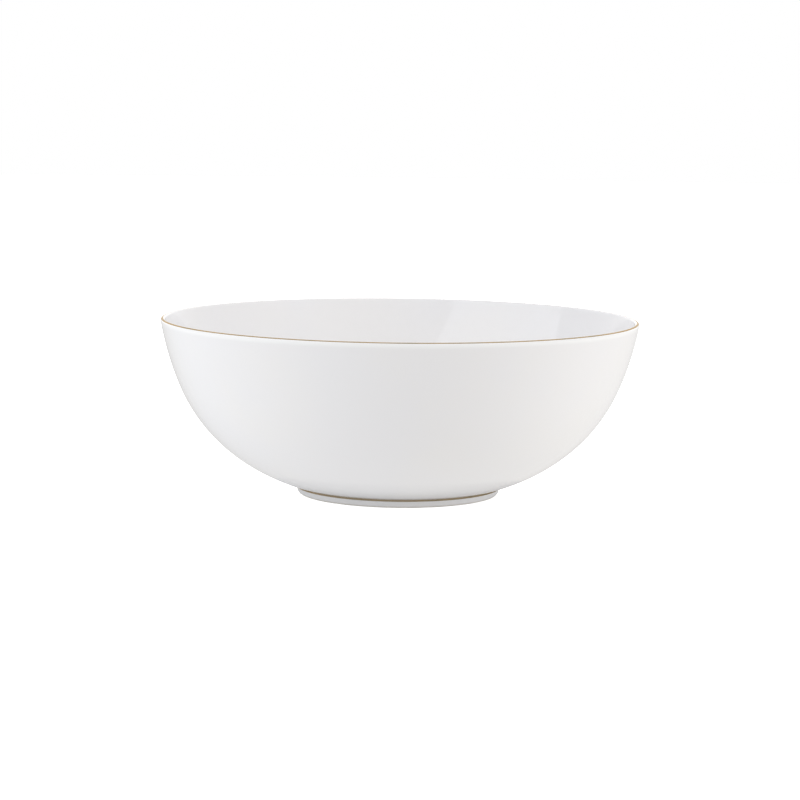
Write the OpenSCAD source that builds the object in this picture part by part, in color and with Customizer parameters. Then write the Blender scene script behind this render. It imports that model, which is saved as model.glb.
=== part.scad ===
// Porcelain serving bowl: a thin coupe wall on a low foot ring, glazed white inside and out.
// A fine gold line runs along the lip and another along the top of the foot.
// The origin is on the table under the centre of the foot, with +Z up the bowl's axis.
// A slope is the angle of a surface's outline up from level, in degrees: the floor is 0,
// an upright wall is 90, and the top of the lip is 180.

/* [Bowl] */
// Outside diameter across the lip
rim_d = 250; // [240:1:260]
// Height from the table to the top of the lip
height = 92; // [88:1:96]
// Thickness of the rounded lip
lip_t = 2.4; // [2.0:0.1:2.8]
// Slope of the wall where it reaches the lip
lip_slope = 80; // [78:1:82]

/* [Outside curve] */
// Slope of the outside where it leaves the foot
foot_slope = 16; // [14:1:18]
// Slope at which the tighter arc of the belly begins
belly_from = 38; // [36:1:40]
// Slope at which the tighter arc of the belly ends
belly_to = 67; // [65:1:69]
// Radius of the belly's arc
belly_r = 88; // [86:1:90]

/* [Inside curve] */
// Radius of the level floor
floor_r = 34; // [30:1:36]
// Thickness of the base under the floor
base_t = 4.2; // [3.8:0.1:5.0]
// Slope at which the inside's middle arc begins
inside_from = 20; // [18:1:24]
// Slope at which the inside's middle arc ends
inside_to = 64; // [62:1:66]
// Radius of the inside's middle arc
inside_r = 88; // [86:1:89]

/* [Foot] */
// Diameter of the foot where the wall leaves it
foot_top_d = 107.8; // [106:0.2:110]
// Diameter of the foot's outside at the table
foot_base_d = 105; // [103:0.2:106]
// Height at which the wall leaves the foot
foot_h = 4.4; // [4.2:0.1:5.0]
// Inside diameter of the foot ring
ring_inside_d = 96; // [92:0.5:97]
// Height of the bowl's underside inside the foot ring
underside_z = 2.6; // [2.2:0.1:3.0]
// Radius of the foot ring's bottom edges
ring_edge_r = 0.8; // [0.5:0.1:1.0]

/* [Glaze and gold] */
// Thickness of the glaze, and of the gold that takes its place along the two lines
glaze_t = 0.3; // [0.25:0.05:0.35]
// Height of the foot ring's bare standing edge
bare_h = 0.9; // [0.8:0.1:1.2]
// Radius of the glaze in the corner between the underside and the foot ring
corner_r = 1.0; // [0.6:0.1:1.2]
// Width of the gold line along the top of the foot
foot_line_w = 0.9; // [0.6:0.1:1.2]
// How far the lip's gold line reaches down the outside from the top of the lip, in degrees
gold_outside = 50; // [40:5:80]
// How far the lip's gold line reaches down the inside from the top of the lip, in degrees
gold_inside = 10; // [5:5:40]

/* [Hidden] */
$fn = 240;

LEVEL = 0;
UPRIGHT = 90;
TOP = 180;
// How far the parts of a curve's inside run into each other
overlap = 1;
// How far the wall and its glaze run on into the lip
lap = 0.02;
// Farther from a curve than any of its neighbours reach
far_out = 30;
// Longest turn between two points of a coat on the lip
lip_step = 10;
lip_r = lip_t / 2;
lip_centre = [rim_d / 2 - lip_r, height - lip_r];
ring_inside_r = ring_inside_d / 2;
gold_from = TOP - gold_outside;
gold_to = TOP + gold_inside;

// Unit vector square to a surface of this slope, pointing out of the bowl
function out(slope) = [sin(slope), -cos(slope)];

// Radius of the foot's outside at height z
function foot_r(z) = (foot_base_d + (foot_top_d - foot_base_d) * z / foot_h) / 2;

// Radii of three tangent arcs that join p to q through slopes s, where the middle radius is known
function arc_radii(p, q, s, middle_r) =
    let (gap = q - p - middle_r * (out(s[2]) - out(s[1])),
         first = out(s[1]) - out(s[0]),
         last = out(s[3]) - out(s[2]))
    [cross(gap, last) / cross(first, last), middle_r, cross(first, gap) / cross(first, last)];

// Centres of three tangent arcs of radii r that start at p and turn through slopes s
function arc_centres(p, s, r) =
    let (first = p - r[0] * out(s[0]),
         second = first + (r[0] - r[1]) * out(s[1]))
    [first, second, second + (r[1] - r[2]) * out(s[2])];

outside_s = [foot_slope, belly_from, belly_to, lip_slope];
outside_start = [foot_top_d / 2, foot_h];
outside_radii = arc_radii(outside_start, lip_centre + lip_r * out(lip_slope), outside_s, belly_r);
outside_centres = arc_centres(outside_start, outside_s, outside_radii);

inside_s = [LEVEL, inside_from, inside_to, lip_slope];
inside_start = [floor_r, underside_z + base_t];
inside_radii = arc_radii(inside_start, lip_centre - lip_r * out(lip_slope), inside_s, inside_r);
inside_centres = arc_centres(inside_start, inside_s, inside_radii);

// Wedge between two slopes, from near distance to far distance from a centre
module wedge(centre, from, to, near, far) {
    polygon([
        centre + near * out(from), centre + far * out(from), centre + far * out((from + to) / 2),
        centre + far * out(to), centre + near * out(to)
    ]);
}

// What a curve of three arcs holds. The last arc runs on past the lip until it stands upright,
// and every radius is larger by grow.
module cup(centres, radii, s, grow) {
    turns = [LEVEL, s[1], s[2], UPRIGHT];
    for (i = [0:2])
        intersection() {
            translate(centres[i]) circle(radii[i] + grow);
            wedge(centres[i], turns[i], turns[i + 1], radii[i] - overlap, radii[i] + far_out);
        }
    bottom_z = centres[0].y - radii[0] - grow;
    polygon([
        [0, bottom_z], [centres[0].x, bottom_z],
        for (i = [0:2]) centres[i] + (radii[i] + grow - overlap / 2) * out(turns[i + 1]),
        [0, centres[2].y]
    ]);
}

module outside_cup(grow = 0) cup(outside_centres, outside_radii, outside_s, grow);
module inside_cup(grow = 0) cup(inside_centres, inside_radii, inside_s, grow);

// Cuts the wall and its glaze off square at the lip's centre, where the round lip takes over.
// They run on by lap so that each joins its own part of the lip in one solid.
module below_lip() {
    intersection() {
        children();
        translate([0, lap]) polygon([
            [0, -lap], [rim_d, -lap], lip_centre + far_out * out(lip_slope),
            [0, lip_centre.y + lip_centre.x / tan(lip_slope)]
        ]);
    }
}

// Coat on the rounded lip, between two slopes
module lip_coat(from, to) {
    steps = ceil((to - from) / lip_step);
    turn = (to - from) / steps;
    polygon([
        for (i = [0:steps]) lip_centre + lip_r * out(from + turn * i),
        for (i = [steps:-1:0]) lip_centre + (lip_r - glaze_t) * out(from + turn * i)
    ]);
}

// Coat on the foot's outside, between two heights
module foot_coat(low, high) {
    polygon([
        [foot_r(low) - glaze_t, low], [foot_r(low), low],
        [foot_r(high), high], [foot_r(high) - glaze_t, high]
    ]);
}

// Wall, base and the short seat above the foot ring, in porcelain
module bowl_wall() {
    color("floralwhite") rotate_extrude() {
        below_lip() difference() {
            union() {
                outside_cup(-glaze_t);
                polygon([[0, 0], [foot_r(0) - glaze_t, 0], [foot_r(foot_h) - glaze_t, foot_h], [0, foot_h]]);
            }
            inside_cup(glaze_t);
            square([rim_d, underside_z]);
        }
        translate(lip_centre) circle(lip_r - glaze_t);
    }
}

// Porcelain ring that the bowl stands on, with both bottom edges rounded
module foot_ring() {
    lean = atan((foot_top_d - foot_base_d) / 2 / foot_h);
    face_r = foot_r(0) - glaze_t;
    outer_edge = [face_r - ring_edge_r * (1 - sin(lean)) / cos(lean), ring_edge_r];
    inner_edge = [ring_inside_r + ring_edge_r, ring_edge_r];
    color("antiquewhite") rotate_extrude() {
        polygon([
            [inner_edge.x, 0], [outer_edge.x, 0], outer_edge + ring_edge_r * out(90 - lean),
            [foot_r(underside_z) - glaze_t, underside_z], [ring_inside_r, underside_z],
            [ring_inside_r, inner_edge.y]
        ]);
        translate(outer_edge) circle(ring_edge_r);
        translate(inner_edge) circle(ring_edge_r);
    }
}

// Glaze on the outside, from the top of the foot to the lip's gold line
module outer_glaze() {
    color("white") rotate_extrude() {
        below_lip() difference() {
            outside_cup();
            outside_cup(-glaze_t);
            square([rim_d, foot_h]);
        }
        lip_coat(lip_slope, gold_from);
    }
}

// Glaze on the inside, from the lip's gold line down over the floor
module inner_glaze() {
    color("white") rotate_extrude() {
        below_lip() difference() {
            inside_cup(glaze_t);
            inside_cup();
        }
        lip_coat(gold_to, lip_slope + TOP);
    }
}

// Glaze on the foot's outside, between the bare edge and the gold line
module foot_glaze() {
    color("ghostwhite") rotate_extrude() foot_coat(bare_h, foot_h - foot_line_w);
}

// Glaze on the underside, turned down the inside of the foot ring
module base_glaze() {
    face_r = ring_inside_r - glaze_t;
    face_z = underside_z - glaze_t;
    color("ghostwhite") rotate_extrude() difference() {
        translate([0, bare_h]) square([ring_inside_r, underside_z - bare_h]);
        square([face_r, face_z - corner_r]);
        square([face_r - corner_r, face_z]);
        translate([face_r - corner_r, face_z - corner_r]) circle(corner_r);
    }
}

// Gold line on the lip
module rim_gold_line() {
    color("goldenrod") rotate_extrude() lip_coat(gold_from, gold_to);
}

// Gold line along the top of the foot
module foot_gold_line() {
    color("darkgoldenrod") rotate_extrude() foot_coat(foot_h - foot_line_w, foot_h);
}

bowl_wall();
foot_ring();
outer_glaze();
inner_glaze();
foot_glaze();
base_glaze();
rim_gold_line();
foot_gold_line();
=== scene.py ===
"""A glazed porcelain serving bowl with gold lines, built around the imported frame, on a plain studio stage."""
import math

import bmesh
import bpy
from bpy.props import FloatProperty, FloatVectorProperty, IntProperty, PointerProperty
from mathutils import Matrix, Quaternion, Vector


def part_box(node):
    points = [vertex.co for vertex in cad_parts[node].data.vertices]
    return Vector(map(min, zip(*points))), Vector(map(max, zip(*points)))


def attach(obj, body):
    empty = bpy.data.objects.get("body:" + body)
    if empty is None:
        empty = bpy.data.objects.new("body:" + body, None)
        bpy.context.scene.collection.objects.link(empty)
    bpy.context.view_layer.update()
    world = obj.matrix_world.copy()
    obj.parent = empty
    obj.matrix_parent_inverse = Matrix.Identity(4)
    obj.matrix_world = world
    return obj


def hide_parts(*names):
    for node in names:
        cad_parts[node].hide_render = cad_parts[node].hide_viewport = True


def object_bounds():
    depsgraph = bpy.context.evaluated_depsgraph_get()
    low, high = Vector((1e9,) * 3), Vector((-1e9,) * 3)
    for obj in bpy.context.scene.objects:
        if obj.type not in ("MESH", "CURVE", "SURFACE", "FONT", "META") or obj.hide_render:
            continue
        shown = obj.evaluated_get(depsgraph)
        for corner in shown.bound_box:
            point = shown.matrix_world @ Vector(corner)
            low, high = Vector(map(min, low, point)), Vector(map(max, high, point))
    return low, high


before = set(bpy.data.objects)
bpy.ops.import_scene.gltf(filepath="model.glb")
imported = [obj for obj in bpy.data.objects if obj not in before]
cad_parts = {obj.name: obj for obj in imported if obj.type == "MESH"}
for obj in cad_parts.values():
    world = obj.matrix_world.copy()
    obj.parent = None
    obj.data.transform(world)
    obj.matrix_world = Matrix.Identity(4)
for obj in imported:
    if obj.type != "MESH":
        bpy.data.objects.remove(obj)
CAD_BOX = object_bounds()

bl_info = {
    "name": "Porcelain Serving Bowl",
    "version": (1, 0, 0),
    "blender": (4, 5, 0),
    "location": "3D View > Sidebar > Bowl",
    "description": "Models a glazed porcelain serving bowl with gold lines, and the stage it stands on",
    "category": "Add Mesh",
}

BODY = "root"
TOP = math.pi
QUARTER = math.pi / 2
MM = 0.001
HORIZON = 0.01


# ---- Sizes and colours ------------------------------------------------------------------------


def length(name, description, default):
    return FloatProperty(name=name, description=description, default=default, min=0.0,
                         unit="LENGTH", subtype="DISTANCE", precision=5)


def angle(name, description, degrees):
    return FloatProperty(name=name, description=description, default=math.radians(degrees),
                         unit="ROTATION", subtype="ANGLE")


def number(name, description, default):
    return FloatProperty(name=name, description=description, default=default, min=0.0, precision=4)


def colour(name, description, default):
    return FloatVectorProperty(name=name, description=description, default=default, size=3,
                               min=0.0, max=1.0, subtype="COLOR")


def tenth_of_mm(value):
    """A packed size to the nearest tenth of a millimetre, free of its mesh's rounding."""
    return round(value, 4)


def foot_lean():
    """How far the foot's outside widens for each metre that it rises."""
    low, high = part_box("foot_glaze")[1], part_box("foot_gold_line")[1]
    return (high.x - low.x) / (high.z - low.z)


class BowlShape(bpy.types.PropertyGroup):
    """Sizes of the bowl. A slope is an outline's angle up from level, so a wall is 90 degrees"""

    rim_radius: length("Rim radius", "From the axis to the outside of the lip",
                       tenth_of_mm(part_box("outer_glaze")[1].x))
    height: length("Height", "From the table to the top of the lip",
                   tenth_of_mm(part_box("rim_gold_line")[1].z))
    lip_radius: length("Lip radius", "Radius of the rounded lip's section", 1.2 * MM)
    lip_slope: angle("Lip slope", "Slope of the wall where it reaches the lip", 80)
    foot_slope: angle("Foot slope", "Slope of the outside where it leaves the foot", 16)
    belly_from: angle("Belly from", "Slope at which the belly's tighter arc begins", 38)
    belly_to: angle("Belly to", "Slope at which the belly's tighter arc ends", 67)
    belly_radius: length("Belly radius", "Radius of the belly's arc", 88 * MM)
    floor_radius: length("Floor radius", "Radius of the level floor inside", 34 * MM)
    floor_height: length("Floor height", "Height of the glazed floor above the table",
                         tenth_of_mm(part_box("inner_glaze")[0].z) + 0.3 * MM)
    inside_from: angle("Inside from", "Slope at which the inside's middle arc begins", 20)
    inside_to: angle("Inside to", "Slope at which the inside's middle arc ends", 64)
    inside_radius: length("Inside radius", "Radius of the inside's middle arc", 88 * MM)
    foot_radius: length("Foot radius", "Radius at which the wall leaves the foot",
                        tenth_of_mm(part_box("foot_gold_line")[1].x))
    foot_height: length("Foot height", "Height at which the wall leaves the foot",
                        tenth_of_mm(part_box("foot_gold_line")[1].z))
    ring_inside: length("Ring inside", "Radius of the foot ring's inner face",
                        tenth_of_mm(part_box("base_glaze")[1].x))
    ring_edge: length("Ring edge", "Radius of the foot ring's bottom edges", 0.8 * MM)
    underside: length("Underside", "Height of the porcelain's underside inside the foot ring",
                      tenth_of_mm(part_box("base_glaze")[1].z))
    corner: length("Corner", "Radius of the glaze between the underside and the foot ring", 1.0 * MM)
    bare: length("Bare edge", "Height of the foot ring's bare standing edge",
                 tenth_of_mm(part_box("foot_glaze")[0].z))
    foot_line: length("Foot line", "Width of the gold line along the top of the foot",
                      tenth_of_mm(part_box("foot_gold_line")[1].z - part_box("foot_gold_line")[0].z))
    glaze: length("Glaze", "Thickness of the glaze and of the gold lines", 0.3 * MM)
    gold_outside: angle("Gold outside", "How far the lip's gold reaches down the outside from the top", 50)
    gold_inside: angle("Gold inside", "How far the lip's gold reaches down the inside from the top", 10)
    turns: IntProperty(name="Turns", description="Faces round the bowl", default=256, min=12)
    wall_step: length("Wall step", "Longest edge along the wall's outline", 2.2 * MM)
    edge_step: length("Edge step", "Longest edge along a rounded edge's outline", 0.12 * MM)


class BowlFinish(bpy.types.PropertyGroup):
    """Colours of the bowl's finishes"""

    glaze: colour("Glaze", "White of the glazed porcelain", (0.885, 0.88, 0.895))
    glaze_thin: colour("Thin glaze", "White where the glaze runs a little thin", (0.895, 0.885, 0.885))
    # Painted shade: a darker grey laid on the glaze in the corner just above the foot.
    painted_foot_shade: colour("Glaze pool", "Tint where glaze gathers above the foot", (0.72, 0.72, 0.72))
    foot_shade_width: length("Glaze pool width", "How far the gathered glaze reaches up from the foot", 3.0 * MM)
    # Painted light: a whiter band laid on the glaze just under the lip.
    painted_lip_light: colour("Glaze roll", "White where the glaze lies thick under the lip", (0.96, 0.96, 0.965))
    lip_light_width: length("Glaze roll width", "How far the thick glaze reaches down from the lip", 3.0 * MM)
    gold: colour("Gold", "Burnished gold", (0.44, 0.34, 0.22))
    gold_thin: colour("Thin gold", "Gold where the brush left less of it", (0.33, 0.28, 0.19))
    gold_edge: colour("Gold edge", "Tint of the gold seen at a slant", (0.76, 0.65, 0.50))
    porcelain: colour("Porcelain", "White of the bare porcelain", (0.80, 0.78, 0.74))
    porcelain_worn: colour("Worn porcelain", "Grey that a standing edge picks up", (0.58, 0.56, 0.53))
    floor: colour("Floor", "Pale floor of the stage", (0.90, 0.90, 0.90))
    floor_shade: colour("Floor shade", "Floor in the shade under the bowl", (0.45, 0.45, 0.45))


class BowlStage(bpy.types.PropertyGroup):
    """The camera, lights and floor. A brightness of 1 looks pure white"""

    distance: length("Distance", "From the camera to the bowl's middle", 1.4)
    elevation: angle("Elevation", "Height of the camera above the horizon", 7.23)
    roll: angle("Roll", "Turn of the camera about its own line of sight", 0.70)
    aim_height: length("Aim height", "Height that the camera aims at", 48.95 * MM)
    aim_side: length("Aim side", "How far right of the bowl's axis the camera aims", 0.5 * MM)
    lens: number("Lens", "Focal length in millimetres, on a sensor 36 mm wide", 119.8)
    floor_radius: length("Floor radius", "Radius of the floor", 4.0)
    shade_radius: length("Shade radius", "Radius of the shade on the floor under the bowl", 68 * MM)
    shade_glow: number("Shade glow", "Brightness that the shade keeps under the bowl", 0.265)
    floor_glow: number("Floor glow", "Share of the floor's white that shadows leave alone", 0.85)
    sky: number("Sky", "Brightness all round above the horizon", 0.71)
    bounce: number("Bounce", "Brightness all round below the horizon", 0.48)
    softbox: number("Softbox", "Brightness of the softbox at the left", 0.99)
    softbox_distance: length("Softbox distance", "From the softbox to the bowl", 1.4)
    softbox_width: length("Softbox width", "Width of the softbox", 1.72)
    softbox_height: length("Softbox height", "Height of the softbox", 0.75)
    softbox_side: angle("Softbox side", "How far left of the camera the softbox stands", 62.5)
    softbox_lift: angle("Softbox lift", "How far above the horizon the softbox stands", 30)


WHITE = (1.0, 1.0, 1.0)
COOL = (0.94, 0.97, 1.0)
WARM = (1.0, 0.985, 0.96)

# Soft glows round the studio: degrees right of the camera, degrees above the horizon, how narrow,
# brightness and tint. One above the horizon is a wall or a lamp, and one below is its light on the floor.
GLOWS = (
    (60, 20, 4, 0.59, WARM),
    (180, 20, 2, 0.65, WARM),
    (-90, -30, 2, 0.88, COOL),
    (90, -20, 4, 1.02, WARM),
    (150, -20, 4, 0.38, WARM),
)


# ---- Outlines ---------------------------------------------------------------------------------


def out(slope):
    """Unit vector in the section, square to a surface of this slope and pointing out of the bowl."""
    return Vector((math.sin(slope), -math.cos(slope)))


class Outline:
    """Half of a section of the bowl, drawn from point to point beside the axis and then spun round it."""

    def __init__(self, shape, start):
        self.shape = shape
        self.mesh = bmesh.new()
        self.first = self.mesh.verts.new((start[0], 0.0, start[1]))
        self.last = self.first

    def line(self, end, parts=1):
        """Draws a straight stretch in equal parts."""
        step = (Vector((end[0], 0.0, end[1])) - self.last.co) / parts
        for _ in range(parts):
            made = bmesh.ops.extrude_vert_indiv(self.mesh, verts=[self.last])
            bmesh.ops.translate(self.mesh, verts=made["verts"], vec=step)
            self.last = made["verts"][0]

    def arc(self, centre, turn, step):
        """Draws an arc about a centre. A positive turn makes the slope steeper."""
        middle = Vector((centre[0], 0.0, centre[1]))
        reach = (self.last.co - middle).length
        steps = max(2, math.ceil(abs(turn) * reach / step))
        made = bmesh.ops.spin(self.mesh, geom=[self.last], cent=middle, axis=(0.0, -1.0, 0.0),
                              angle=turn, steps=steps)
        self.last = next(v for v in made["geom_last"] if isinstance(v, bmesh.types.BMVert))

    def close(self):
        """Joins the last point to the first."""
        self.mesh.edges.new((self.last, self.first))

    def spin(self, name):
        """Spins the outline round the bowl's axis into a closed, smooth piece."""
        bmesh.ops.spin(self.mesh, geom=[*self.mesh.verts, *self.mesh.edges], cent=(0.0, 0.0, 0.0),
                       axis=(0.0, 0.0, 1.0), angle=math.tau, steps=self.shape.turns, use_merge=True)
        bmesh.ops.remove_doubles(self.mesh, verts=self.mesh.verts, dist=0.001 * MM)
        bmesh.ops.recalc_face_normals(self.mesh, faces=self.mesh.faces)
        crease = math.radians(30)
        for edge in self.mesh.edges:
            edge.smooth = edge.calc_face_angle(0.0) < crease
        for face in self.mesh.faces:
            face.smooth = True
        mesh = bpy.data.meshes.new(name)
        self.mesh.to_mesh(mesh)
        self.mesh.free()
        piece = bpy.data.objects.new(name, mesh)
        bpy.context.scene.collection.objects.link(piece)
        return piece


class Wall:
    """One side of the bowl's wall: three tangent arcs that join two points through four slopes."""

    def __init__(self, start, end, slopes, middle_radius):
        gap = end - start - middle_radius * (out(slopes[2]) - out(slopes[1]))
        first = out(slopes[1]) - out(slopes[0])
        last = out(slopes[3]) - out(slopes[2])
        whole = first.cross(last)
        self.slopes = slopes
        self.radii = (gap.cross(last) / whole, middle_radius, first.cross(gap) / whole)
        low = start - self.radii[0] * out(slopes[0])
        middle = low + (self.radii[0] - self.radii[1]) * out(slopes[1])
        self.centres = (low, middle, middle + (self.radii[1] - self.radii[2]) * out(slopes[2]))

    def slope_at(self, height, grow):
        """Slope of the lowest arc at this height, where the wall is grown outwards."""
        return math.acos((self.centres[0].y - height) / (self.radii[0] + grow))

    def point(self, slope, grow):
        """Point of the lowest arc that has this slope, where the wall is grown outwards."""
        return self.centres[0] + (self.radii[0] + grow) * out(slope)

    def up(self, outline, start=None):
        """Draws the wall from its foot to the lip, or from a slope other than its first."""
        slopes = (self.slopes[0] if start is None else start, *self.slopes[1:])
        for i, centre in enumerate(self.centres):
            outline.arc(centre, slopes[i + 1] - slopes[i], outline.shape.wall_step)

    def down(self, outline, end=None):
        """Draws the wall from the lip to its foot, or to a slope other than its first."""
        slopes = (self.slopes[0] if end is None else end, *self.slopes[1:])
        for i in (2, 1, 0):
            outline.arc(self.centres[i], slopes[i] - slopes[i + 1], outline.shape.wall_step)


class Section:
    """The bowl's whole section, worked out from its sizes."""

    def __init__(self, shape):
        s = shape
        self.shape = s
        self.lip = Vector((s.rim_radius - s.lip_radius, s.height - s.lip_radius))
        self.gold_from = TOP - s.gold_outside
        self.gold_to = TOP + s.gold_inside
        self.inner_lip_slope = TOP + s.lip_slope
        self.foot = Vector((s.foot_radius, s.foot_height))
        self.lean = foot_lean()
        self.lean_angle = math.atan(self.lean)
        self.outside = Wall(self.foot, self.lip + s.lip_radius * out(s.lip_slope),
                            (s.foot_slope, s.belly_from, s.belly_to, s.lip_slope), s.belly_radius)
        self.inside = Wall(Vector((s.floor_radius, s.floor_height)),
                           self.lip + s.lip_radius * out(self.inner_lip_slope),
                           (0.0, s.inside_from, s.inside_to, s.lip_slope), s.inside_radius)
        self.seat_slope = self.outside.slope_at(s.foot_height, -s.glaze)
        self.seat = self.outside.point(self.seat_slope, -s.glaze)
        self.floor_parts = math.ceil(s.floor_radius / s.wall_step)

    def foot_face(self, height, depth=0.0):
        """Point on the foot's outside at this height, or under its glaze."""
        return Vector((self.foot.x - self.lean * (self.foot.y - height) - depth, height))

    def lip_point(self, slope, depth=0.0):
        """Point on the rounded lip at this slope, or under its glaze."""
        return self.lip + (self.shape.lip_radius - depth) * out(slope)


def draw_wall(section):
    """Porcelain wall and base under the glaze."""
    s = section.shape
    porcelain_floor = s.floor_height - s.glaze
    o = Outline(s, (0.0, s.underside))
    o.line(section.foot_face(s.underside, s.glaze), section.floor_parts)
    o.line(section.foot_face(s.foot_height, s.glaze))
    o.line(section.seat)
    section.outside.up(o, section.seat_slope)
    o.arc(section.lip, TOP, s.edge_step)
    section.inside.down(o)
    o.line((0.0, porcelain_floor), section.floor_parts)
    return o


def draw_foot_ring(section):
    """Porcelain ring that the bowl stands on, with both bottom edges rounded."""
    s = section.shape
    lean = section.lean_angle
    face = section.foot_face(0.0, s.glaze)
    outer_edge = (face.x - s.ring_edge * (1 - math.sin(lean)) / math.cos(lean), s.ring_edge)
    inner_edge = (s.ring_inside + s.ring_edge, s.ring_edge)
    o = Outline(s, (s.ring_inside, s.underside))
    o.line((s.ring_inside, s.ring_edge), 3)
    o.arc(inner_edge, QUARTER, s.edge_step)
    o.line((outer_edge[0], 0.0), 4)
    o.arc(outer_edge, QUARTER - lean, s.edge_step)
    o.line(section.foot_face(s.underside, s.glaze), 3)
    o.close()
    return o


def draw_outside_glaze(section):
    """Glaze on the outside, from the top of the foot to the lip's gold line."""
    s = section.shape
    over_lip = section.gold_from - s.lip_slope
    o = Outline(s, section.seat)
    o.line(section.foot)
    section.outside.up(o)
    o.arc(section.lip, over_lip, s.edge_step)
    o.line(section.lip_point(section.gold_from, s.glaze))
    o.arc(section.lip, -over_lip, s.edge_step)
    section.outside.down(o, section.seat_slope)
    return o


def draw_inside_glaze(section):
    """Glaze on the inside, from the lip's gold line down over the floor."""
    s = section.shape
    over_lip = section.inner_lip_slope - section.gold_to
    o = Outline(s, (0.0, s.floor_height))
    o.line((s.floor_radius, s.floor_height), section.floor_parts)
    section.inside.up(o)
    o.arc(section.lip, -over_lip, s.edge_step)
    o.line(section.lip_point(section.gold_to, s.glaze))
    o.arc(section.lip, over_lip, s.edge_step)
    section.inside.down(o)
    o.line((0.0, s.floor_height - s.glaze), section.floor_parts)
    return o


def draw_foot_glaze(section):
    """Glaze on the foot's outside, with a rolled lower edge."""
    s = section.shape
    roll = s.glaze * math.cos(section.lean_angle)
    roll_height = s.bare + roll * math.cos(section.lean_angle)
    line_bottom = s.foot_height - s.foot_line
    bottom = section.foot_face(s.bare, s.glaze)
    o = Outline(s, bottom)
    o.arc(section.foot_face(roll_height, s.glaze), QUARTER, s.edge_step / 2)
    o.line(section.foot_face(line_bottom), 6)
    o.line(section.foot_face(line_bottom, s.glaze))
    o.line(bottom, 6)
    return o


def draw_base_glaze(section):
    """Glaze on the underside, turned down the foot ring's inner face, with a rolled lower edge."""
    s = section.shape
    face = s.ring_inside - s.glaze
    level = s.underside - s.glaze
    o = Outline(s, (0.0, level))
    o.line((face - s.corner, level), section.floor_parts)
    o.arc((face - s.corner, level - s.corner), -QUARTER, s.edge_step)
    o.line((face, s.bare + s.glaze))
    o.arc((s.ring_inside, s.bare + s.glaze), QUARTER, s.edge_step / 2)
    o.line((s.ring_inside, s.underside), 4)
    o.line((0.0, s.underside), section.floor_parts)
    return o


def draw_rim_line(section):
    """Gold line on the lip."""
    s = section.shape
    width = section.gold_to - section.gold_from
    o = Outline(s, section.lip_point(section.gold_from))
    o.arc(section.lip, width, s.edge_step)
    o.line(section.lip_point(section.gold_to, s.glaze))
    o.arc(section.lip, -width, s.edge_step)
    o.close()
    return o


def draw_foot_line(section):
    """Gold line along the top of the foot."""
    s = section.shape
    bottom = s.foot_height - s.foot_line
    o = Outline(s, section.foot_face(bottom))
    o.line(section.foot, 4)
    o.line(section.foot_face(s.foot_height, s.glaze))
    o.line(section.foot_face(bottom, s.glaze), 4)
    o.close()
    return o


# ---- Finishes ---------------------------------------------------------------------------------


class Link:
    """A node's output. Arithmetic on it adds Math nodes to its recipe."""

    def __init__(self, recipe, socket):
        self.recipe = recipe
        self.socket = socket

    def _math(self, operation, *values):
        return self.recipe.node("ShaderNodeMath", {"operation": operation}, dict(enumerate(values)))

    def __add__(self, other):
        return self._math("ADD", self, other)

    def __radd__(self, other):
        return self._math("ADD", other, self)

    def __sub__(self, other):
        return self._math("SUBTRACT", self, other)

    def __rsub__(self, other):
        return self._math("SUBTRACT", other, self)

    def __mul__(self, other):
        return self._math("MULTIPLY", self, other)

    def __rmul__(self, other):
        return self._math("MULTIPLY", other, self)

    def __pow__(self, other):
        return self._math("POWER", self, other)

    def sine(self):
        return self._math("SINE", self)

    def root(self):
        return self._math("SQRT", self)

    def positive(self):
        return self._math("MAXIMUM", self, 0.0)

    def step(self, low, high):
        """0 below low, 1 above high, and smooth in between."""
        settings = {"interpolation_type": "SMOOTHSTEP"}
        return self.recipe.node("ShaderNodeMapRange", settings,
                                {"Value": self, "From Min": low, "From Max": high})


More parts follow.
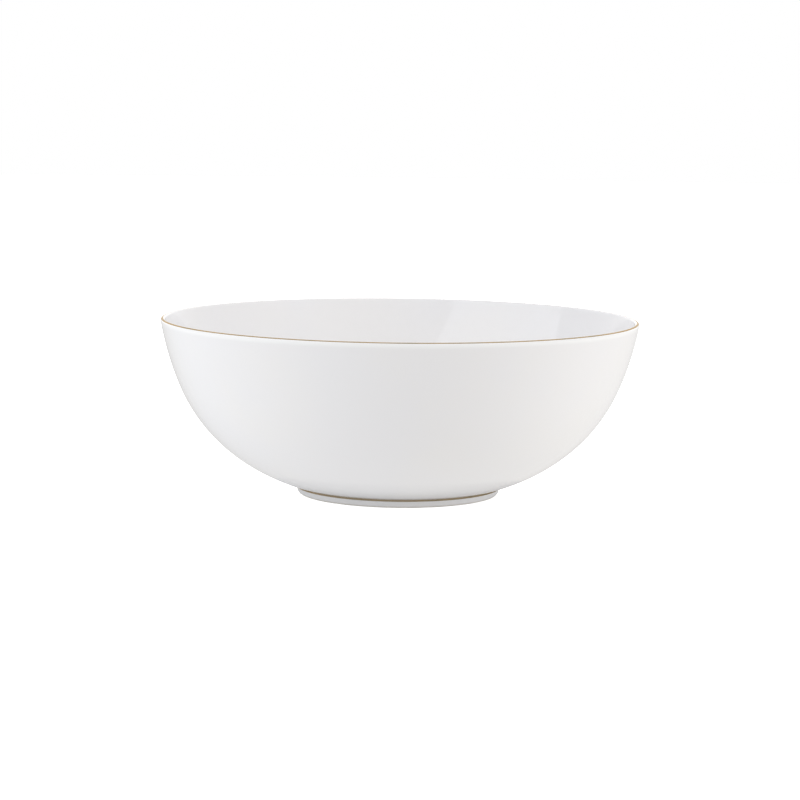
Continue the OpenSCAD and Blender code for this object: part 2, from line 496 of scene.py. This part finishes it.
class Recipe:
    """A finish in the making: a material, or the studio's world, and the nodes in it."""

    def __init__(self, owner):
        owner.use_nodes = True
        self.tree = owner.node_tree
        self.tree.nodes.clear()

    def node(self, kind, settings=None, inputs=None, output=0):
        """Adds a node: its settings first, then its sockets by name or number. Returns one output."""
        node = self.tree.nodes.new(kind)
        for key, value in (settings or {}).items():
            setattr(node, key, value)
        for key, value in (inputs or {}).items():
            if isinstance(value, Link):
                self.tree.links.new(value.socket, node.inputs[key])
            else:
                node.inputs[key].default_value = value
        return Link(self, node.outputs[output]) if node.outputs else None

    def place(self):
        """The piece's own coordinates, in metres, as a vector and as its three parts."""
        vector = self.node("ShaderNodeTexCoord", output="Object")
        parts = [self.node("ShaderNodeSeparateXYZ", inputs={0: vector}, output=i) for i in range(3)]
        return vector, *parts

    def vector(self, x, y, z):
        return self.node("ShaderNodeCombineXYZ", inputs={0: x, 1: y, 2: z})

    def vector_math(self, operation, output, **inputs):
        """A Vector Math node. Its sockets are first, second and scale."""
        numbers = {"first": 0, "second": 1, "scale": 3}
        return self.node("ShaderNodeVectorMath", {"operation": operation},
                         {numbers[key]: value for key, value in inputs.items()}, output)

    def mix(self, share, first, second):
        """A colour between two colours."""
        mixed = self.node("ShaderNodeMix", {"data_type": "RGBA"}, output=2)
        node = mixed.socket.node
        for index, value in ((0, share), (6, first), (7, second)):
            if isinstance(value, Link):
                self.tree.links.new(value.socket, node.inputs[index])
            else:
                node.inputs[index].default_value = value if index == 0 else (*value, 1.0)
        return mixed

    def noise(self, vector, scale, detail=2.0, roughness=0.5):
        """Soft noise, from 0 to 1, with about this many waves to a metre."""
        return self.node("ShaderNodeTexNoise", {"noise_dimensions": "3D"},
                         {"Vector": vector, "Scale": scale, "Detail": detail, "Roughness": roughness})

    def bump(self, height, strength):
        """A normal that follows heights in metres."""
        inputs = {"Height": height, "Strength": strength, "Distance": 1.0}
        return self.node("ShaderNodeBump", inputs=inputs)

    def finish(self, **sockets):
        """Ends the recipe with one shader. Underscores in a socket's name stand for its spaces."""
        inputs = {key.replace("_", " "): value for key, value in sockets.items()}
        shader = self.node("ShaderNodeBsdfPrincipled", inputs=inputs)
        self.node("ShaderNodeOutputMaterial", inputs={"Surface": shader})


def glaze_finish(name, finish, foot_height=None, lip_height=None):
    """Clear glaze over white porcelain, with faint waves. Where asked, it is darkened by painted shade just
    above the foot, and whitened by painted light in a band just under the lip."""
    material = bpy.data.materials.new(name)
    r = Recipe(material)
    place, x, y, z = r.place()
    along = (x * x + y * y).root() + z
    wander = r.noise(place, 18.0)
    waves = r.noise(place, 55.0, detail=1.0)
    rings = ((along + wander * (4 * MM)) * (math.tau / (7 * MM))).sine()
    height = waves * (0.020 * MM) + rings * (0.0004 * MM)
    thin = r.noise(place, 14.0, detail=3.0).step(0.42, 0.70)
    base = r.mix(thin, finish.glaze, finish.glaze_thin)
    if foot_height is not None:
        # Painted shade: the glaze turns darker grey in the corner just above the foot.
        foot_shade = 1 - z.step(foot_height, foot_height + finish.foot_shade_width)
        base = r.mix(foot_shade, base, finish.painted_foot_shade)
    if lip_height is not None:
        # Painted light: the glaze turns whiter in a band just under the lip.
        roll = (z + wander * (0.8 * MM)).step(lip_height - finish.lip_light_width, lip_height - MM)
        base = r.mix(roll, base, finish.painted_lip_light)
    gloss = 0.035 + r.noise(place, 160.0) * 0.03
    r.finish(Base_Color=base, Roughness=gloss, IOR=1.52, Normal=r.bump(height, 1.0))
    return material


def gold_finish(name, finish):
    """Burnished gold, laid on with a brush along the line."""
    material = bpy.data.materials.new(name)
    r = Recipe(material)
    place, x, y, z = r.place()
    radius = (x * x + y * y).root()
    streak_place = r.vector(x * 40.0, y * 40.0, (radius * 0.7 + z) * 6000.0)
    streaks = r.noise(streak_place, 1.0, detail=3.0)
    patches = r.noise(place, 120.0, detail=3.0)
    thin = (streaks * 0.6 + patches * 0.4).step(0.44, 0.62)
    base = r.mix(thin, finish.gold, finish.gold_thin)
    gloss = 0.16 + streaks * 0.10 + patches * 0.06
    height = streaks * (0.002 * MM)
    r.finish(Base_Color=base, Metallic=1.0, Roughness=gloss, Specular_Tint=(*finish.gold_edge, 1.0),
             Normal=r.bump(height, 1.0))
    return material


def porcelain_finish(name, finish, worn_height):
    """Bare fired porcelain: fine, matt, and a little grey where it stands."""
    material = bpy.data.materials.new(name)
    r = Recipe(material)
    place, x, y, z = r.place()
    grain = r.noise(place, 3500.0, detail=4.0, roughness=0.65)
    patches = r.noise(place, 180.0, detail=3.0)
    worn = (1 - z.step(0.0, worn_height)) * patches.step(0.40, 0.66)
    base = r.mix(worn, finish.porcelain, finish.porcelain_worn)
    rough = 0.55 + grain * 0.2
    r.finish(Base_Color=base, Roughness=rough, Normal=r.bump(grain * (0.01 * MM), 1.0))
    return material


def floor_finish(name, base, glow):
    """Smooth, plain floor, with a glow of its own that keeps shadows faint."""
    material = bpy.data.materials.new(name)
    r = Recipe(material)
    place, x, y, z = r.place()
    tint = r.mix(r.noise(place, 6.0) * 0.1, base, WHITE)
    r.finish(Base_Color=tint, Roughness=0.8, Emission_Color=(glow, glow, glow, 1.0), Emission_Strength=1.0)
    return material


# ---- Pieces -----------------------------------------------------------------------------------


def settings():
    scene = bpy.context.scene
    return scene.bowl_shape, scene.bowl_finish, scene.bowl_stage


def place_piece(draw, name, node, material):
    """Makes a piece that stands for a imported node, in that node's finish."""
    shape, _, _ = settings()
    piece = draw(Section(shape)).spin(name)
    piece.data.materials.append(material)
    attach(piece, BODY)
    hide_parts(node)
    return piece


class BOWL_OT_wall(bpy.types.Operator):
    """Make the porcelain wall and base"""

    bl_idname = "bowl.wall"
    bl_label = "Wall"

    def execute(self, context):
        shape, finish, _ = settings()
        bare = porcelain_finish("porcelain_under_glaze", finish, shape.bare)
        place_piece(draw_wall, "wall_porcelain", "bowl_wall", bare)
        return {"FINISHED"}


class BOWL_OT_foot_ring(bpy.types.Operator):
    """Make the porcelain foot ring"""

    bl_idname = "bowl.foot_ring"
    bl_label = "Foot ring"

    def execute(self, context):
        shape, finish, _ = settings()
        bare = porcelain_finish("bare_porcelain", finish, shape.bare)
        place_piece(draw_foot_ring, "foot_porcelain", "foot_ring", bare)
        return {"FINISHED"}


class BOWL_OT_outside_glaze(bpy.types.Operator):
    """Make the glaze on the outside of the wall"""

    bl_idname = "bowl.outside_glaze"
    bl_label = "Outside glaze"

    def execute(self, context):
        shape, finish, _ = settings()
        glaze = glaze_finish("glaze_outside", finish, shape.foot_height, shape.height)
        place_piece(draw_outside_glaze, "glaze_outside", "outer_glaze", glaze)
        return {"FINISHED"}


class BOWL_OT_inside_glaze(bpy.types.Operator):
    """Make the glaze on the inside of the bowl"""

    bl_idname = "bowl.inside_glaze"
    bl_label = "Inside glaze"

    def execute(self, context):
        _, finish, _ = settings()
        glaze = glaze_finish("glaze_inside", finish)
        place_piece(draw_inside_glaze, "glaze_inside", "inner_glaze", glaze)
        return {"FINISHED"}


class BOWL_OT_foot_glazes(bpy.types.Operator):
    """Make the glaze on the foot's outside and on the underside"""

    bl_idname = "bowl.foot_glazes"
    bl_label = "Foot glazes"

    def execute(self, context):
        _, finish, _ = settings()
        glaze = glaze_finish("glaze_foot", finish)
        place_piece(draw_foot_glaze, "glaze_foot", "foot_glaze", glaze)
        place_piece(draw_base_glaze, "glaze_base", "base_glaze", glaze)
        return {"FINISHED"}


class BOWL_OT_gold_lines(bpy.types.Operator):
    """Make the gold lines on the lip and along the top of the foot"""

    bl_idname = "bowl.gold_lines"
    bl_label = "Gold lines"

    def execute(self, context):
        _, finish, _ = settings()
        rim_gold = gold_finish("gold_rim", finish)
        foot_gold = gold_finish("gold_foot", finish)
        place_piece(draw_rim_line, "gold_rim", "rim_gold_line", rim_gold)
        place_piece(draw_foot_line, "gold_foot", "foot_gold_line", foot_gold)
        return {"FINISHED"}


# ---- Stage ------------------------------------------------------------------------------------


def toward(right, up):
    """Unit vector that points so far right of the camera and so far above the horizon."""
    return Vector((math.sin(right) * math.cos(up), -math.cos(right) * math.cos(up), math.sin(up)))


def make_softbox(stage):
    """Adds the softbox at the left, whose shape shows in the glaze on the inside."""
    light = bpy.data.lights.new("softbox", "AREA")
    light.shape = "RECTANGLE"
    light.size = stage.softbox_width
    light.size_y = stage.softbox_height
    light.energy = stage.softbox * math.pi * stage.softbox_width * stage.softbox_height
    light.color = COOL
    lamp = bpy.data.objects.new("softbox", light)
    reach = toward(-stage.softbox_side, stage.softbox_lift)
    lamp.location = Vector((0.0, 0.0, stage.aim_height)) + stage.softbox_distance * reach
    lamp.rotation_euler = (-reach).to_track_quat("-Z", "Y").to_euler()
    lamp.visible_camera = False
    bpy.context.scene.collection.objects.link(lamp)


def disc(name, radius, height, material):
    """Adds a level disc of the stage."""
    mesh = bmesh.new()
    bmesh.ops.create_circle(mesh, cap_ends=True, segments=96, radius=radius)
    bmesh.ops.translate(mesh, verts=mesh.verts, vec=(0.0, 0.0, height))
    data = bpy.data.meshes.new(name)
    mesh.to_mesh(data)
    mesh.free()
    piece = bpy.data.objects.new(name, data)
    data.materials.append(material)
    bpy.context.scene.collection.objects.link(piece)
    return piece


def make_floor(finish, stage):
    """Adds the floor that the camera sees, and under it the shaded patch that the bowl sees. The rest of
    the floor's light on the bowl comes from the world."""
    open_floor = floor_finish("pale_floor", finish.floor, stage.floor_glow)
    floor = disc("floor", stage.floor_radius, 0.0, open_floor)
    floor.visible_diffuse = False
    floor.visible_glossy = False
    floor.visible_shadow = False
    shaded_floor = floor_finish("shaded_floor", finish.floor_shade, stage.shade_glow)
    shade = disc("floor_shade", stage.shade_radius, -MM, shaded_floor)
    shade.visible_camera = False


def make_camera(stage):
    middle = (CAD_BOX[0] + CAD_BOX[1]) / 2
    camera = bpy.data.objects.new("camera", bpy.data.cameras.new("camera"))
    camera.data.lens = stage.lens
    camera.data.clip_end = 50.0
    camera.location = middle + stage.distance * toward(0.0, stage.elevation)
    aim = Vector((stage.aim_side, 0.0, stage.aim_height))
    look = (aim - camera.location).to_track_quat("-Z", "Y")
    camera.rotation_euler = (look @ Quaternion((0.0, 0.0, 1.0), stage.roll)).to_euler()
    bpy.context.scene.collection.objects.link(camera)
    bpy.context.scene.camera = camera


def glow_light(r, start, direction, glows):
    """Light of this colour all round, with soft glows added to it."""
    light = start
    for right, up, narrow, brightness, tint in glows:
        axis = toward(math.radians(right), math.radians(up))
        facing = r.vector_math("DOT_PRODUCT", "Value", first=direction, second=axis).positive()
        glow = r.vector_math("SCALE", "Vector", first=tint, scale=facing ** narrow * brightness)
        light = r.vector_math("ADD", "Vector", first=light, second=glow)
    return light


def make_world(stage):
    """Lights the studio from all round. The camera sees it as plain white."""
    world = bpy.data.worlds.new("studio")
    r = Recipe(world)
    direction = r.node("ShaderNodeTexCoord", output="Generated")
    height = r.node("ShaderNodeSeparateXYZ", inputs={0: direction}, output="Z")
    sky = glow_light(r, stage.sky * Vector(WHITE), direction, [g for g in GLOWS if g[1] > 0])
    floor = glow_light(r, stage.bounce * Vector(WARM), direction, [g for g in GLOWS if g[1] < 0])
    dome = r.mix(height.step(-HORIZON, HORIZON), floor, sky)
    seen = r.node("ShaderNodeLightPath", output="Is Camera Ray")
    background = r.node("ShaderNodeBackground", inputs={"Color": r.mix(seen, dome, WHITE)})
    r.node("ShaderNodeOutputWorld", inputs={"Surface": background})
    bpy.context.scene.world = world


class BOWL_OT_stage(bpy.types.Operator):
    """Make the floor, the soft lights and the camera"""

    bl_idname = "bowl.stage"
    bl_label = "Stage"

    def execute(self, context):
        _, finish, stage = settings()
        make_floor(finish, stage)
        make_world(stage)
        make_softbox(stage)
        make_camera(stage)
        context.scene.view_settings.view_transform = "Standard"
        return {"FINISHED"}


# ---- Add-on -----------------------------------------------------------------------------------


OPERATORS = (
    BOWL_OT_wall,
    BOWL_OT_foot_ring,
    BOWL_OT_outside_glaze,
    BOWL_OT_inside_glaze,
    BOWL_OT_foot_glazes,
    BOWL_OT_gold_lines,
    BOWL_OT_stage,
)


class VIEW3D_PT_bowl(bpy.types.Panel):
    """Sizes, colours and steps of the serving bowl"""

    bl_label = "Serving bowl"
    bl_space_type = "VIEW_3D"
    bl_region_type = "UI"
    bl_category = "Bowl"

    def draw(self, context):
        for operator in OPERATORS:
            self.layout.operator(operator.bl_idname)
        for group in settings():
            box = self.layout.box()
            for name in group.__annotations__:
                box.prop(group, name)


GROUPS = {"bowl_shape": BowlShape, "bowl_finish": BowlFinish, "bowl_stage": BowlStage}


def register():
    for group in GROUPS.values():
        bpy.utils.register_class(group)
    for operator in OPERATORS:
        bpy.utils.register_class(operator)
    bpy.utils.register_class(VIEW3D_PT_bowl)
    for name, group in GROUPS.items():
        setattr(bpy.types.Scene, name, PointerProperty(type=group))


def unregister():
    for name in GROUPS:
        delattr(bpy.types.Scene, name)
    bpy.utils.unregister_class(VIEW3D_PT_bowl)
    for operator in reversed(OPERATORS):
        bpy.utils.unregister_class(operator)
    for group in GROUPS.values():
        bpy.utils.unregister_class(group)


def main():
    register()
    bpy.ops.bowl.wall()
    bpy.ops.bowl.foot_ring()
    bpy.ops.bowl.outside_glaze()
    bpy.ops.bowl.inside_glaze()
    bpy.ops.bowl.foot_glazes()
    bpy.ops.bowl.gold_lines()
    bpy.ops.bowl.stage()


if __name__ == "__main__":
    main()
